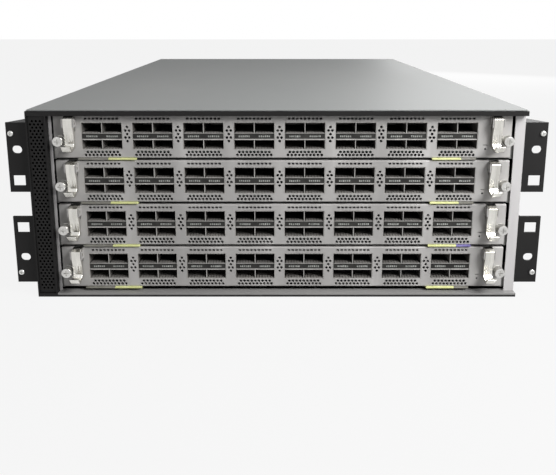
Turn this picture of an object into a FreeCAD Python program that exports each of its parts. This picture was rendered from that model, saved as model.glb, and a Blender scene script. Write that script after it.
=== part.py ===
import FreeCAD, Part
import math
import os
import re
import Sketcher

# Modular network switch, four units high, for a 19 inch rack.
# The front faces -Y, +X is on the right seen from the front, and the underside lies at z = 0.

SIZES = {
    # Chassis
    "body_height": 175,
    "body_depth": 650,
    "sheet": 1.2,
    "seam": 0.2,
    "cover_inset": 1.0,
    "rim_width": 10,
    # Front frame
    "frame_depth": 11,
    "frame_top": 5.4,
    "frame_base": 3.4,
    "frame_post": 1.2,
    "grille_width": 15.3,
    "grille_sheet": 1.0,
    "grille_recess": 1.5,
    "grille_rows": 20,
    "grille_side": 4,
    "grille_hole": 5,
    # Card cage
    "panel_inset": 6,
    "flange_left": 2.6,
    "flange_right": 8,
    "screw_tab_end": 4.7,
    "screw_tab_sheet": 3,
    "screw_tab_height": 9,
    "screw_tab_back": 5,
    "shelf_edge": 4,
    "card_count": 4,
    "card_gap": 0.4,
    "card_base": 7.6,
    "shelf_play": 0.3,
    "midplane_back": 387,
    "midplane_sheet": 3,
    "plug_depth": 12,
    "plug_width": 70,
    "plug_height": 11,
    "plug_pitch": 120,
    "plug_count": 3,
    # Line cards
    "card_clear": 2.4,
    "card_margin_left": 22.5,
    "card_margin_right": 12,
    "card_flange": 9,
    "tray_wall": 8,
    "rail_width": 8,
    "rail_inset": 2,
    "port_groups": 8,
    "port_margin": 45.5,
    "port_start": 19.925,
    "port_post": 8.15,
    "port_head": 5.6,
    "port_base": 7.7,
    "cage_depth": 52,
    "cage_sheet": 0.8,
    "cage_band": 6.3,
    "cage_low_port": 8,
    "cage_plug": 8,
    "board_sheet": 2.2,
    "board_margin": 13,
    "sink_depth": 110,
    "sink_width": 150,
    "sink_fins": 8,
    "sink_base": 4,
    "sink_room": 6.9,
    "sink_fin": 2,
    "sink_front": 150,
    # Air slots of a card
    "slot_edge": 3.05,
    "slot_low": 1.9,
    "slot_high": 6.3,
    "slot_lean": 0.8,
    # Levers and thumbscrews
    "lever_width": 8.4,
    "lever_inset_left": 14.7,
    "lever_inset_right": 14.2,
    "pivot_drop": 6,
    "pivot_reach": 4.2,
    "pivot_radius": 1.5,
    "pivot_play": 0.06,
    "head_reach": 3,
    "head_rise": 5.2,
    "claw_sheet": 2.4,
    "claw_lap": 1.2,
    "claw_room": 8,
    "lever_gap": 1,
    "bar_front": 4.8,
    "bar_rise": 12.5,
    "tab_low": 8.8,
    "tab_bend": 10.4,
    "tab_reach": 16.2,
    "tab_tip": 13.4,
    "tab_sheet": 1.8,
    "cheek_reach": 7.2,
    "cheek_drop": 3.6,
    "cheek_rise": 3.8,
    "cheek_sheet": 1.0,
    "cheek_gap": 0.25,
    "thumb_inset_left": 5.5,
    "thumb_inset_right": 4.6,
    "thumb_height": 16.5,
    "thumb_radius": 4.5,
    "thumb_length": 9,
    "thumb_flutes": 8,
    "thumb_groove": 0.45,
    "thumb_play": 0.1,
    "thumb_shank": 1.75,
    "thumb_tip": 2,
    "shank_sides": 12,
    "shank_play": 0.08,
    # Rack ears
    "rack_width": 482.6,
    "ear_reach": 20.3,
    "ear_sheet": 2,
    "ear_flange": 42,
    "ear_gap": 23,
    "ear_lowest": 12,
    "gusset_depth": 36,
    "rack_hole_edge": 8.75,
    "rack_hole_low": 36.7,
    "rack_slot_length": 9,
    "rack_slot_width": 7,
    "square_hole_drop": 10.7,
    "square_hole_width": 11,
    "square_hole_height": 9.5,
    "ear_screw_edge": 4.3,
    "ear_screw_low": 22,
    # Screws
    "head_radius": 2.6,
    "head_height": 1.8,
    "stem_radius": 1.5,
    "stem_play": 0.05,
    "stem_sides": 8,
    "head_sides": 12,
    "stem_length": 5,
    # Rear bays
    "bay_floor": 47,
    "fan_count": 3,
    "fan_margin": 7,
    "fan_headroom": 4.8,
    "fan_depth": 96,
    "fan_gap": 7,
    "bay_play": 0.4,
    "guard_slots": 6,
    "fan_sides": 16,
    "guard_bar": 3,
    "fan_rim": 6,
    "rotor_tip_gap": 2.5,
    "rotor_hub": 19,
    "rotor_length": 34,
    "rotor_gap": 0.4,
    "rotor_blades": 5,
    "blade_pitch": 52,
    "blade_root": 3,
    "blade_sheet": 2,
    "fan_shaft": 2.5,
    "shaft_play": 0.06,
    "bore_sides": 12,
    "motor_radius": 18,
    "motor_depth": 12,
    "supply_count": 4,
    "supply_gap": 4.5,
    "supply_height": 40,
    "supply_clear": 24,
    "service_gap": 8,
    "supply_edge": 5,
    "supply_margin": 6,
    "supply_slots": 4,
    "supply_slot_width": 24,
    "supply_slot_depth": 4,
    "supply_slot_pitch": 7,
    "face_lap": 2,
    "face_sheet": 1.6,
    "handle_reach": 22,
    "handle_bar": 5,
    "handle_width": 34,
    "handle_drop": 8,
    "supply_handle": 21,
    "supply_handle_gap": 3,
    "inlet_width": 26,
    "inlet_height": 20,
    "inlet_depth": 18,
    "service_edge": 6,
    "socket_count": 3,
    "service_width": 74,
    "service_lap": 3,
    "socket_width": 14,
    "socket_height": 12,
    "socket_depth": 16,
    "socket_pitch": 20,
    "socket_wall": 1,
    # How far a cutter stands past what it cuts
    "spare": 1,
}

# Sizes that follow from the ones above
FOLLOWING = {
    "body_width": "rack_width - 2*ear_reach",
    "ear_height": "(body_height - 2*ear_lowest - ear_gap)/2",
    "rack_hole_span": "rack_width - 2*rack_hole_edge",
    "square_hole_low": "ear_lowest + ear_height - square_hole_drop",
    "ear_screw_span": "rack_width - 2*ear_screw_edge",
    "card_left": "body_width/2 - card_margin_left",
    "card_right": "body_width/2 - card_margin_right",
    "card_pitch": "(body_height - frame_top - card_gap + card_clear - card_base)/card_count",
    "card_height": "card_pitch - card_clear",
    "port_pitch": "(card_left + card_right - port_margin)/port_groups",
    "port_first": "card_left - port_start - port_pitch/2",
    "port_width": "port_pitch - port_post",
    "port_height": "card_height - port_base - port_head",
    "sink_height": "card_height - port_base - sink_room",
    "slot_width": "port_width - 2*slot_edge",
    "lever_left": "card_left - lever_inset_left",
    "lever_right": "card_right - lever_inset_right",
    "thumb_left": "card_left - thumb_inset_left",
    "thumb_right": "card_right - thumb_inset_right",
    "pivot_height": "card_height - pivot_drop",
    "cheek_low": "pivot_height - cheek_drop",
    "cheek_high": "pivot_height + cheek_rise",
    "fan_pitch": "(body_width - fan_margin)/fan_count",
    "fan_width": "fan_pitch - fan_gap",
    "fan_height": "body_height - 2*sheet - bay_floor - 2*bay_play - fan_headroom",
    "fan_bore": "fan_height/2 - fan_rim",
    "rotor_radius": "fan_bore - rotor_tip_gap",
    "supply_depth": "body_depth - midplane_back - midplane_sheet - supply_clear",
    "supply_side": "service_width + service_edge + service_gap",
    "supply_pitch": "(body_width - supply_side)/supply_count",
    "supply_width": "supply_pitch - supply_gap",
    "supply_first": "body_width/2 - supply_edge - supply_width/2",
    "service_left": "body_width/2 - service_width - service_edge",
}

document = FreeCAD.newDocument("switch")
sheet = document.addObject("Spreadsheet::Sheet", "sizes")
WORDS = {**SIZES, **FOLLOWING}
for row, (alias, value) in enumerate(WORDS.items(), start=1):
    sheet.set(f"A{row}", alias)
    sheet.setAlias(f"B{row}", alias)
    sheet.set(f"B{row}", f"={value}")
document.recompute()

NAMES = re.compile(r"\b(" + "|".join(sorted(WORDS, key=len, reverse=True)) + r")\b")
nodes = []


def formula(text):
    """An expression of the document, from words of the sheet."""
    return NAMES.sub(r"sizes.\1", str(text))


def size(text):
    """The value that an expression has now."""
    found = sheet.evalExpression(formula(text))
    return float(getattr(found, "Value", found))


def bind(thing, **expressions):
    for path, text in expressions.items():
        thing.setExpression(path.replace("_at_", "."), formula(text))


def place(thing, x="0", y="0", z="0"):
    bind(thing, Placement_at_Base_at_x=x, Placement_at_Base_at_y=y, Placement_at_Base_at_z=z)
    return thing


def keep(thing, label):
    thing.Label = label
    nodes.append(thing)
    return thing


def block(x, y, z, length, width, height):
    """A box with its lowest corner at x, y, z."""
    box = document.addObject("Part::Box", "block")
    bind(box, Length=length, Width=width, Height=height)
    return place(box, x, y, z)


def rod(x, y, z, radius, length, axis):
    """A cylinder that starts at x, y, z and runs along axis."""
    bar = document.addObject("Part::Cylinder", "rod")
    bind(bar, Radius=radius, Height=length)
    bar.Placement.Rotation = FreeCAD.Rotation(FreeCAD.Vector(0, 0, 1), axis)
    return place(bar, x, y, z)


def fused(*pieces):
    whole = document.addObject("Part::MultiFuse", "fused")
    whole.Shapes = list(pieces)
    whole.Refine = True
    return whole


def group(*pieces):
    whole = document.addObject("Part::Compound", "group")
    whole.Links = list(pieces)
    return whole


def cut(base, *tools):
    piece = document.addObject("Part::Cut", "cut")
    piece.Base = base
    piece.Tool = tools[0] if len(tools) == 1 else fused(*tools)
    return piece


def flat(body, role, loops, offset="0"):
    """A sketch of closed loops on one of the body's own planes."""
    plane = [part for part in body.Origin.OriginFeatures if part.Role == role][0]
    sketch = body.newObject("Sketcher::SketchObject", "outline")
    sketch.AttachmentSupport = [(plane, "")]
    sketch.MapMode = "FlatFace"
    bind(sketch, AttachmentOffset_at_Base_at_z=offset)
    for loop in loops:
        first = sketch.GeometryCount
        corners = [FreeCAD.Vector(size(a), size(b), 0) for a, b in loop]
        count = len(corners)
        for n in range(count):
            sketch.addGeometry(Part.LineSegment(corners[n], corners[(n + 1) % count]), False)
        for n in range(count):
            sketch.addConstraint(
                Sketcher.Constraint("Coincident", first + n, 2, first + (n + 1) % count, 1)
            )
        for n, (a, b) in enumerate(loop):
            for kind, text, value in (("DistanceX", a, corners[n].x), ("DistanceY", b, corners[n].y)):
                held = sketch.addConstraint(Sketcher.Constraint(kind, -1, 1, first + n, 1, value))
                sketch.setExpression(f"Constraints[{held}]", formula(text))
    return sketch


def ring(a, b, length, height):
    """The corners of a rectangle."""
    return [(a, b), (f"{a} + {length}", b), (f"{a} + {length}", f"{b} + {height}"), (a, f"{b} + {height}")]


def pad(body, sketch, length, turned=False):
    feature = body.newObject("PartDesign::Pad", "pad")
    feature.Profile = sketch
    feature.Reversed = turned
    bind(feature, Length=length)
    return feature


def pocket(body, sketch, length, turned=False):
    feature = body.newObject("PartDesign::Pocket", "pocket")
    feature.Profile = sketch
    feature.Reversed = turned
    bind(feature, Length=length)
    return feature


def repeat(body, feature, sketch, span, count):
    """Copies of a feature along the sketch's level axis."""
    pattern = body.newObject("PartDesign::LinearPattern", "row")
    pattern.Originals = [feature]
    pattern.Direction = (sketch, ["H_Axis"])
    bind(pattern, Length=span, Occurrences=count)
    body.Tip = pattern
    return pattern


def solid_body(label):
    return keep(document.addObject("PartDesign::Body", label), label)


def shape_node(label, shape):
    piece = document.addObject("Part::Feature", label)
    piece.Shape = shape
    return keep(piece, label)


ALONG_X = FreeCAD.Vector(1, 0, 0)
ALONG_Y = FreeCAD.Vector(0, 1, 0)
FRONT = "-body_depth/2"
REAR = "body_depth/2"
PANEL = f"({FRONT} + panel_inset)"
LEFT = "-body_width/2"
RIGHT = "body_width/2"
FRAME_BACK = f"({FRONT} + frame_depth)"
POST = "(frame_post*2 + grille_width + seam)"


def base_pan():
    """Bottom and two sides of one folded sheet, with rims that carry the cover."""
    body = solid_body("base_pan")
    outline = [
        (LEFT, "0"),
        (RIGHT, "0"),
        (RIGHT, "body_height - sheet"),
        (f"{RIGHT} - rim_width", "body_height - sheet"),
        (f"{RIGHT} - rim_width", "body_height - 2*sheet"),
        (f"{RIGHT} - sheet", "body_height - 2*sheet"),
        (f"{RIGHT} - sheet", "sheet"),
        (f"{LEFT} + sheet", "sheet"),
        (f"{LEFT} + sheet", "body_height - 2*sheet"),
        (f"{LEFT} + rim_width", "body_height - 2*sheet"),
        (f"{LEFT} + rim_width", "body_height - sheet"),
        (LEFT, "body_height - sheet"),
    ]
    section = flat(body, "XZ_Plane", [outline], offset=f"-{REAR}")
    pad(body, section, "body_depth - frame_depth")


def top_cover():
    width = "body_width - 2*cover_inset"
    plate = block(f"{LEFT} + cover_inset", f"{FRONT} + cover_inset", "body_height - sheet",
                  width, "body_depth - 2*cover_inset", "sheet")
    keep(plate, "top_cover")


def front_frame():
    """Black frame above, below and beside the cards, with a tall window for the air intake."""
    body = solid_body("front_frame")
    bar = "body_height - frame_top"
    outer = [
        (LEFT, "0"),
        (RIGHT, "0"),
        (RIGHT, "frame_base"),
        (f"{LEFT} + {POST}", "frame_base"),
        (f"{LEFT} + {POST}", bar),
        (RIGHT, bar),
        (RIGHT, "body_height - sheet"),
        (LEFT, "body_height - sheet"),
    ]
    intake = ring(f"{LEFT} + frame_post", "frame_base", "grille_width + seam",
                  "body_height - frame_top - frame_base")
    pad(body, flat(body, "XZ_Plane", [outer, intake], offset=REAR), "frame_depth", turned=True)


def intake_grille():
    """Perforated sheet in the window of the front frame."""
    tall = size("body_height - frame_top - frame_base - seam")
    wide = size("grille_width")
    left = size(f"{LEFT} + frame_post + seam/2")
    face = size(f"{FRONT} + grille_recess")
    low = size("frame_base + seam/2")
    thick = size("grille_sheet")
    rows = int(size("grille_rows"))
    reach = size("grille_hole") / 2
    side = size("grille_side")
    step = tall / rows
    plate = Part.makeBox(wide, thick, tall, FreeCAD.Vector(left, face, low))
    holes = []
    for row in range(rows):
        columns = (0,) if row % 2 else (-side, side)
        for shift in columns:
            x = left + wide / 2 + shift
            z = low + step * (row + 0.5)
            corners = [(x - reach, z), (x, z - reach), (x + reach, z), (x, z + reach), (x - reach, z)]
            wire = Part.makePolygon([FreeCAD.Vector(a, face, b) for a, b in corners])
            holes.append(Part.Face(wire).extrude(FreeCAD.Vector(0, thick, 0)))
    shape_node("intake_grille", plate.cut(Part.makeCompound(holes)))


def square(x, z):
    """The square hole that a thumbscrew's shank passes."""
    half = "(thumb_shank + shank_play)"
    return ring(f"{x} - {half}", f"{z} - {half}", f"2*{half}", f"2*{half}")


def prism_y(start, radius, length, sides, groove=0):
    """A prism along Y; with a groove, every second corner lies further in."""
    points = []
    for n in range(sides + 1):
        turn = 2 * math.pi * (n % sides) / sides
        reach = radius - groove * (n % 2)
        points.append(start + FreeCAD.Vector(reach * math.cos(turn), 0, reach * math.sin(turn)))
    return Part.Face(Part.makePolygon(points)).extrude(ALONG_Y * length)


CARDS = range(int(size("card_count")))
MIDPLANE = f"({FRONT} + midplane_back)"
WALL_LEFT = f"({LEFT} + {POST})"
WALL_RIGHT = f"({RIGHT} - frame_post)"


def card_floor(level):
    return f"(card_base + {level}*card_pitch)"


def guide_wall(side, edge, outer, turn, flange, thumb):
    """Wall of the card cage: a sheet with a front flange and four screw tabs."""
    body = solid_body(f"guide_wall_{side}")
    inner = f"{edge} + {turn}*sheet"
    lip = f"{edge} + {turn}*{flange}"
    sheet_outline = [(edge, FRAME_BACK), (inner, FRAME_BACK), (inner, MIDPLANE), (edge, MIDPLANE)]
    pad(body, flat(body, "XY_Plane", [sheet_outline], offset="sheet"), "body_height - 3*sheet")
    front_outline = [
        (outer, PANEL),
        (lip, PANEL),
        (lip, f"{PANEL} + sheet"),
        (inner, f"{PANEL} + sheet"),
        (inner, FRAME_BACK),
        (outer, FRAME_BACK),
    ]
    pad(body, flat(body, "XY_Plane", [front_outline], offset="frame_base"),
        "body_height - frame_top - frame_base")
    tab_face = f"-({PANEL} + screw_tab_back)"
    tabs = []
    for level in CARDS:
        low = f"{card_floor(level)} + thumb_height - screw_tab_height/2"
        high = f"{card_floor(level)} + thumb_height + screw_tab_height/2"
        end = f"{thumb} + {turn}*screw_tab_end"
        tabs.append([(inner, low), (end, low), (end, high), (inner, high)])
    pad(body, flat(body, "XZ_Plane", tabs, offset=tab_face), "screw_tab_sheet", turned=True)
    holes = [square(thumb, f"{card_floor(level)} + thumb_height") for level in CARDS]
    pocket(body, flat(body, "XZ_Plane", holes, offset=tab_face), "screw_tab_sheet")


def card_shelves():
    """Four sheets between the walls, one under each card."""
    shelves = []
    for level in CARDS:
        shelves.append(block(
            f"{WALL_LEFT} + sheet", f"{PANEL} + shelf_edge",
            f"{card_floor(level)} - shelf_play - sheet",
            f"{WALL_RIGHT} - {WALL_LEFT} - 2*sheet",
            "midplane_back - panel_inset - shelf_edge", "sheet"))
    keep(group(*shelves), "card_shelves")


def midplane():
    """Upright board between the cards and the rear bays."""
    keep(block(f"{LEFT} + sheet", MIDPLANE, "sheet", "body_width - 2*sheet",
               "midplane_sheet", "body_height - 3*sheet"), "midplane")
    plugs = []
    for level in CARDS:
        for n in range(int(size("plug_count"))):
            plugs.append(block(
                f"({n} - (plug_count - 1)/2)*plug_pitch - plug_width/2",
                f"{MIDPLANE} - plug_depth", f"{card_floor(level)} + 2*sheet",
                "plug_width", "plug_depth", "plug_height"))
    keep(group(*plugs), "midplane_connectors")


CARD_DEPTH = "(midplane_back - panel_inset - plug_depth - 2*seam)"
EIGHTH_TURN = math.tan(math.pi / 8)
BOARD_BASE = "(port_base - board_sheet)"


def port_left(n):
    return f"({n}*port_pitch - port_first - port_width/2)"


def panel(level):
    """Front panel and tray of a line card, folded from one sheet."""
    body = solid_body(f"card_{level + 1}_panel")
    place(body, "0", PANEL, card_floor(level))
    section = [
        ("0", "0"),
        (CARD_DEPTH, "0"),
        (CARD_DEPTH, "sheet"),
        ("sheet", "sheet"),
        ("sheet", "card_height - sheet"),
        ("card_flange", "card_height - sheet"),
        ("card_flange", "card_height"),
        ("0", "card_height"),
    ]
    pad(body, flat(body, "YZ_Plane", [section], offset="-card_left"), "card_left + card_right")
    walls = [
        ring("-card_left", "sheet", "sheet", f"{CARD_DEPTH} - sheet"),
        ring("card_right - sheet", "sheet", "sheet", f"{CARD_DEPTH} - sheet"),
    ]
    pad(body, flat(body, "XY_Plane", walls, offset="sheet"), "tray_wall")
    rails = [
        ring("-card_left + board_margin + rail_inset", "sheet", "rail_width", f"{CARD_DEPTH} - 2*sheet"),
        ring("card_right - board_margin - rail_width - rail_inset", "sheet", "rail_width",
             f"{CARD_DEPTH} - 2*sheet"),
    ]
    pad(body, flat(body, "XY_Plane", rails, offset="sheet"), f"{BOARD_BASE} - sheet")
    for centre in ("-lever_left", "lever_right"):
        for turn, edge in (("-1", "-cheek_sheet"), ("1", "0")):
            start = f"{centre} + {turn}*(lever_width/2 + cheek_gap) + {edge}"
            ear = [("-cheek_reach", "cheek_low"), ("0", "cheek_low"), ("0", "cheek_high"),
                   ("-cheek_reach", "cheek_high")]
            pad(body, flat(body, "YZ_Plane", [ear], offset=start), "cheek_sheet")
    window = ring(port_left(0), "port_base - seam/2", "port_width", "port_height")
    air = [
        ("-port_first - slot_width/2 - slot_lean", "slot_low"),
        ("-port_first + slot_width/2 - slot_lean", "slot_low"),
        ("-port_first + slot_width/2 + slot_lean", "slot_high"),
        ("-port_first - slot_width/2 + slot_lean", "slot_high"),
    ]
    openings = flat(body, "XZ_Plane", [window, air])
    first = pocket(body, openings, "sheet")
    repeat(body, first, openings, "port_pitch*(port_groups - 1)", "port_groups")
    notches = []
    for centre in ("-lever_left", "lever_right"):
        notches.append(ring(f"{centre} - lever_width/2 - cheek_gap",
                            "pivot_height - claw_room", "lever_width + 2*cheek_gap",
                            "card_height - pivot_height + claw_room"))
    pocket(body, flat(body, "XZ_Plane", notches), "card_flange")
    passages = [square("-thumb_left", "thumb_height"), square("thumb_right", "thumb_height")]
    pocket(body, flat(body, "XZ_Plane", passages), "sheet")
    seat = "(pivot_radius + pivot_play)"
    corner = f"({seat}*{EIGHTH_TURN})"
    slot = [
        (f"-pivot_reach - {seat}", "cheek_high"),
        (f"-pivot_reach - {seat}", f"pivot_height - {corner}"),
        (f"-pivot_reach - {corner}", f"pivot_height - {seat}"),
        (f"-pivot_reach + {corner}", f"pivot_height - {seat}"),
        (f"-pivot_reach + {seat}", f"pivot_height - {corner}"),
        (f"-pivot_reach + {seat}", "cheek_high"),
    ]
    pocket(body, flat(body, "YZ_Plane", [slot], offset="-card_left"), "card_left + card_right", turned=True)


def cages(level):
    """Eight stacked cage blocks, each with two columns and two rows of ports."""
    wide = size("port_width - seam")
    tall = size("port_height - seam")
    deep = size("cage_depth")
    wall = size("cage_sheet")
    band = size("cage_band")
    low_port = size("cage_low_port")
    plug = size("cage_plug")
    solids = []
    for n in range(int(size("port_groups"))):
        x = size(f"{port_left(n)} + seam/2")
        y = size(f"{PANEL} + seam")
        z = size(f"{card_floor(level)} + port_base")
        shell = Part.makeBox(wide, deep, tall, FreeCAD.Vector(x, y, z))
        inner_wide = wide - 2 * wall
        inner_tall = tall - 2 * wall
        mouth = deep - plug
        room = Part.makeBox(inner_wide, mouth, inner_tall, FreeCAD.Vector(x + wall, y, z + wall))
        floor = z + wall
        centre = x + (wide - wall) / 2
        solids.append(shell.cut(room))
        solids.append(Part.makeBox(inner_wide, mouth, band, FreeCAD.Vector(x + wall, y, floor + low_port)))
        solids.append(Part.makeBox(wall, mouth, low_port, FreeCAD.Vector(centre, y, floor)))
        solids.append(Part.makeBox(wall, mouth, inner_tall - low_port - band,
                                   FreeCAD.Vector(centre, y, floor + low_port + band)))
    shape_node(f"card_{level + 1}_cages", Part.makeCompound(solids))


def board(level):
    keep(block("-card_left + board_margin", f"{PANEL} + 2*sheet",
               f"{card_floor(level)} + {BOARD_BASE}",
               "card_left + card_right - 2*board_margin", f"{CARD_DEPTH} - 2*sheet",
               "board_sheet"), f"card_{level + 1}_board")


def heat_sink(level):
    """Finned block on the board, with its fins in line with the air stream."""
    body = solid_body(f"card_{level + 1}_heat_sink")
    place(body, "0", f"{PANEL} + sink_front", f"{card_floor(level)} + port_base")
    outline = [("-sink_width/2", "0"), ("sink_width/2", "0")]
    fins = int(size("sink_fins"))
    pitch = f"(sink_width - sink_fin)/({fins} - 1)"
    for n in reversed(range(fins)):
        left = f"-sink_width/2 + {n}*{pitch}"
        outline.append((f"{left} + sink_fin", "sink_base" if n < fins - 1 else "sink_height"))
        if n < fins - 1:
            outline.append((f"{left} + sink_fin", "sink_height"))
        outline.append((left, "sink_height"))
        if n:
            outline.append((left, "sink_base"))
    pad(body, flat(body, "XZ_Plane", [outline]), "sink_depth", turned=True)


def lever(level, side, centre):
    """Ejector lever: claw above its pin, bar below it and a forward finger tab."""
    outline = [
        ("-lever_gap", "tab_low + tab_sheet"),
        ("-tab_bend", "tab_low"),
        ("-tab_bend - tab_sheet", "tab_low + tab_sheet/2"),
        ("-tab_reach", "tab_tip"),
        ("-tab_reach + tab_sheet", "tab_tip + tab_sheet/2"),
        ("-tab_bend", "tab_low + tab_sheet"),
        ("-bar_front - tab_sheet", "tab_low + 2*tab_sheet"),
        ("-bar_front", "tab_low + 3*tab_sheet"),
        ("-bar_front", "tab_low + bar_rise"),
        ("-pivot_reach - head_reach", "pivot_height - head_reach"),
        ("-pivot_reach - head_reach", "pivot_height + head_reach"),
        ("-pivot_reach", "pivot_height + head_rise"),
        ("claw_lap", "pivot_height + head_rise"),
        ("claw_lap", "pivot_height + head_rise - claw_sheet"),
        ("-lever_gap", "pivot_height + claw_sheet/2"),
    ]
    x = size(centre)
    y = size(PANEL)
    z = size(card_floor(level))
    wide = size("lever_width")
    points = [FreeCAD.Vector(x - wide / 2, y + size(a), z + size(b)) for a, b in outline]
    body = Part.Face(Part.makePolygon(points + points[:1])).extrude(ALONG_X * wide)
    side_reach = size("cheek_gap + cheek_sheet")
    pin_start = FreeCAD.Vector(x - wide / 2 - side_reach, y - size("pivot_reach"), z + size("pivot_height"))
    pin = Part.makeCylinder(size("pivot_radius"), wide + 2 * side_reach, pin_start, ALONG_X)
    shape_node(f"card_{level + 1}_lever_{side}", body.fuse(pin))


def thumbscrew(level, side, centre):
    """Captive screw with a fluted head."""
    x = size(centre)
    z = size(f"{card_floor(level)} + thumb_height")
    face = size(f"{PANEL} - thumb_play")
    length = size("thumb_length")
    radius = size("thumb_radius")
    groove = size("thumb_groove")
    flutes = int(size("thumb_flutes"))
    head = prism_y(FreeCAD.Vector(x, face - length, z), radius, length, 2 * flutes, groove)
    shank_length = size("screw_tab_back + screw_tab_sheet + thumb_tip + thumb_play")
    shank = prism_y(FreeCAD.Vector(x, face, z), size("thumb_shank"), shank_length, int(size("shank_sides")))
    shape_node(f"card_{level + 1}_thumbscrew_{side}", head.fuse(shank))


def many_sided(x, y, z, radius, length, sides):
    """A regular prism along Y that starts at x, y, z."""
    bar = document.addObject("Part::Prism", "prism")
    bar.Placement.Rotation = FreeCAD.Rotation(FreeCAD.Vector(0, 0, 1), ALONG_Y)
    bind(bar, Circumradius=radius, Height=length, Polygon=sides)
    return place(bar, x, y, z)


def oblong(x, z, length, width, depth):
    """Cutter for a slot along X with round ends."""
    bar = block(f"{x} - ({length} - {width})/2", f"{PANEL} - spare", f"{z} - {width}/2",
                f"{length} - {width}", depth, width)
    ends = [rod(f"{x} + {turn}*({length} - {width})/2", f"{PANEL} - spare", z, f"{width}/2", depth, ALONG_Y)
            for turn in (-1, 1)]
    return fused(bar, *ends)


def ear(name, turn, base, holes, gusset_at):
    """Rack ear: front plate, side flange and a web."""
    side = f"({turn}*body_width/2)"
    lip = f"({turn}*rack_width/2)"
    front = block(side if turn == 1 else lip, PANEL, base, "(rack_width - body_width)/2", "ear_sheet",
                  "ear_height")
    start = side if turn == 1 else f"({side} - ear_sheet)"
    flange = block(start, PANEL, base, "ear_sheet", "ear_flange", "ear_height")
    body = document.addObject("PartDesign::Body", "web")
    corners = [(side, PANEL), (lip, PANEL), (f"({side} + {turn}*ear_sheet)", f"{PANEL} + gusset_depth"),
               (side, f"{PANEL} + gusset_depth")]
    pad(body, flat(body, "XY_Plane", [corners], offset=gusset_at), "ear_sheet")
    middle = f"({turn}*rack_hole_span/2)"
    cuts = [oblong(middle, holes[0], "rack_slot_length", "rack_slot_width", "ear_sheet + 2*spare")]
    cuts.append(block(f"{middle} - square_hole_width/2", f"{PANEL} - spare",
                      f"{holes[1]} - square_hole_height/2", "square_hole_width", "ear_sheet + 2*spare",
                      "square_hole_height"))
    screw_x = f"({turn}*ear_screw_span/2)"
    cuts.append(many_sided(screw_x, f"{PANEL} - spare", holes[2], "stem_radius + stem_play",
                           "ear_sheet + 2*spare", "stem_sides"))
    keep(cut(fused(front, flange, body), *cuts), name)


def screws():
    """A pan-head screw near the outer corner of each ear."""
    pieces = []
    for turn in (-1, 1):
        for height in ("ear_screw_low", "(body_height - ear_screw_low)"):
            x = f"({turn}*ear_screw_span/2)"
            head = many_sided(x, f"{PANEL} - head_height", height, "head_radius", "head_height",
                              "head_sides")
            stem = many_sided(x, PANEL, height, "stem_radius", "stem_length", "stem_sides")
            pieces.append(fused(head, stem))
    keep(group(*pieces), "ear_screws")


BAY_FRONT = f"({MIDPLANE} + midplane_sheet)"
REAR_FRAME = f"({REAR} - sheet)"
FAN_BASE = "(bay_floor + bay_play)"


def fan_left(n):
    return f"(({n} - (fan_count - 1)/2)*fan_pitch - fan_width/2)"


def supply_left(n):
    return f"({n}*supply_pitch - supply_first - supply_width/2)"


def bay_shelf():
    """Floor of the fan bays and roof of the power bays."""
    keep(block(f"{LEFT} + sheet", BAY_FRONT, "bay_floor - sheet", "body_width - 2*sheet",
               f"{REAR_FRAME} - {BAY_FRONT}", "sheet"), "bay_shelf")


def rear_frame():
    """Rear sheet with an opening for each fan tray, power supply and the service panel."""
    body = solid_body("rear_frame")
    loops = [ring(f"{LEFT} + sheet", "sheet", "body_width - 2*sheet", "body_height - 3*sheet")]
    for n in range(int(size("fan_count"))):
        loops.append(ring(f"{fan_left(n)} - bay_play", "bay_floor", "fan_width + 2*bay_play",
                          "fan_height + 2*bay_play"))
    for n in range(int(size("supply_count"))):
        loops.append(ring(f"{supply_left(n)} - bay_play", "2*sheet", "supply_width + 2*bay_play",
                          "supply_height + 2*bay_play"))
    loops.append(ring("service_left + service_lap", "2*sheet + service_lap",
                      "service_width - 2*service_lap", "supply_height - 2*service_lap"))
    pad(body, flat(body, "XZ_Plane", loops, offset=f"-{REAR}"), "sheet")


def fan_tray(n):
    """Square fan housing with a barred guard, a motor mount, a shaft and a pull handle."""
    left = fan_left(n)
    middle = f"({left} + fan_width/2)"
    height = f"({FAN_BASE} + fan_height/2)"
    housing = block(left, f"{REAR} - fan_depth", FAN_BASE, "fan_width", "fan_depth", "fan_height")
    plate = block(f"{left} - face_lap", REAR, f"{FAN_BASE} - face_lap", "fan_width + 2*face_lap",
                  "face_sheet", "fan_height + 2*face_lap")
    bore = many_sided(middle, f"{REAR} - fan_depth - spare", height, "fan_bore", "fan_depth + spare",
                      "fan_sides")
    slots = []
    bars = int(size("guard_slots"))
    pitch = f"(2*fan_bore + guard_bar)/{bars}"
    for slot in range(bars):
        slots.append(block(f"{middle} - fan_bore", f"{REAR} - spare",
                           f"{height} - fan_bore + {slot}*{pitch}", "2*fan_bore", "face_sheet + 2*spare",
                           f"{pitch} - guard_bar"))
    disc = many_sided(middle, f"{REAR} - spare", height, "fan_bore", "face_sheet + 2*spare", "fan_sides")
    core = many_sided(middle, f"{REAR} - 2*spare", height, "motor_radius", "face_sheet + 4*spare",
                      "fan_sides")
    air = document.addObject("Part::MultiCommon", "guard_openings")
    air.Shapes = [group(*slots), cut(disc, core)]
    motor = many_sided(middle, f"{REAR} - motor_depth", height, "motor_radius", "motor_depth", "fan_sides")
    shaft = rod(middle, f"{REAR} - motor_depth - rotor_length - 2*rotor_gap", height, "fan_shaft",
                "rotor_length + 2*rotor_gap", ALONG_Y)
    shell = cut(cut(fused(housing, plate), bore), air)
    grip = handle(f"{middle} - handle_width/2", f"{FAN_BASE} + fan_height - handle_drop",
                  "handle_width", "handle_bar", "handle_reach")
    keep(fused(shell, motor, shaft, grip), f"fan_tray_{n + 1}")


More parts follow.
